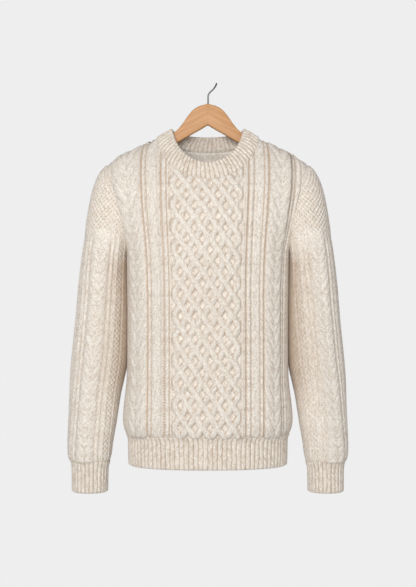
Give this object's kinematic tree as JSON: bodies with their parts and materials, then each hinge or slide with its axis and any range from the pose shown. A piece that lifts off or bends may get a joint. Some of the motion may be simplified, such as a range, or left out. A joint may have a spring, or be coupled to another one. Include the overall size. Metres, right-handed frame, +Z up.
{
  "type": "cable knit sweater on a wooden hanger",
  "caption": "Cream cable knit crew-neck sweater with a lattice front, cables and ribbed bands, hanging on a wooden hanger with a wire hook.",
  "frame": {"origin": "inner top of the hanger's hook, where it rests on the rail", "axes": "+X to the right as the front is seen, -Y the way the front faces, +Z up"},
  "size_m": [0.5696, 0.217, 0.8395],
  "materials": {
    "wool": "matte cream wool knit with cables and a soft halo",
    "beech": "clear satin varnish",
    "steel": "dark plain wire"
  },
  "bodies": {
    "root": {"front": "wool", "back": "wool", "sleeve_left": "wool", "sleeve_right": "wool", "collar": "wool", "hem_band": "wool", "cuff_left": "wool", "cuff_right": "wool", "hanger_wood": "beech", "hanger_hook": "steel"}
  },
  "joints": []
}
